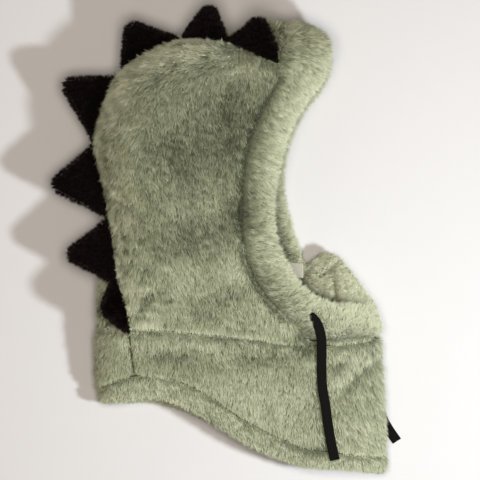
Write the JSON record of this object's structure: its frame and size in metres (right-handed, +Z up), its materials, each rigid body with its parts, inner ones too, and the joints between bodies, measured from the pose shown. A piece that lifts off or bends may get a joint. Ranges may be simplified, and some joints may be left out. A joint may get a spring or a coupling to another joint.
{
  "type": "plush hood",
  "caption": "Plush hood with a drawstring face opening, a neck collar and stuffed spikes along its centre seam, lying on one side.",
  "frame": {"origin": "on the table under the middle of the hood, its cords left out", "axes": "+Z up off the table, from the wearer's left to right; +Y from the neck to the crown; +X out of the face opening"},
  "size_m": [0.3084, 0.4087, 0.1024],
  "materials": {
    "sage_plush": "short soft pile, sage green, matte",
    "dark_plush": "short dense pile, near black brown, matte",
    "black_cord": "flat woven cord, black, slightly shiny",
    "cream_label": "woven satin label, cream, bare"
  },
  "bodies": {
    "root": {"crown_right": "sage_plush", "crown_left": "sage_plush", "face_band": "sage_plush", "neck_cape": "sage_plush", "spike_1": "dark_plush", "spike_2": "dark_plush", "spike_3": "dark_plush", "spike_4": "dark_plush", "spike_5": "dark_plush", "spike_6": "dark_plush", "spike_7": "dark_plush", "drawcord_right": "black_cord", "drawcord_left": "black_cord", "neck_label": "cream_label"}
  },
  "joints": []
}
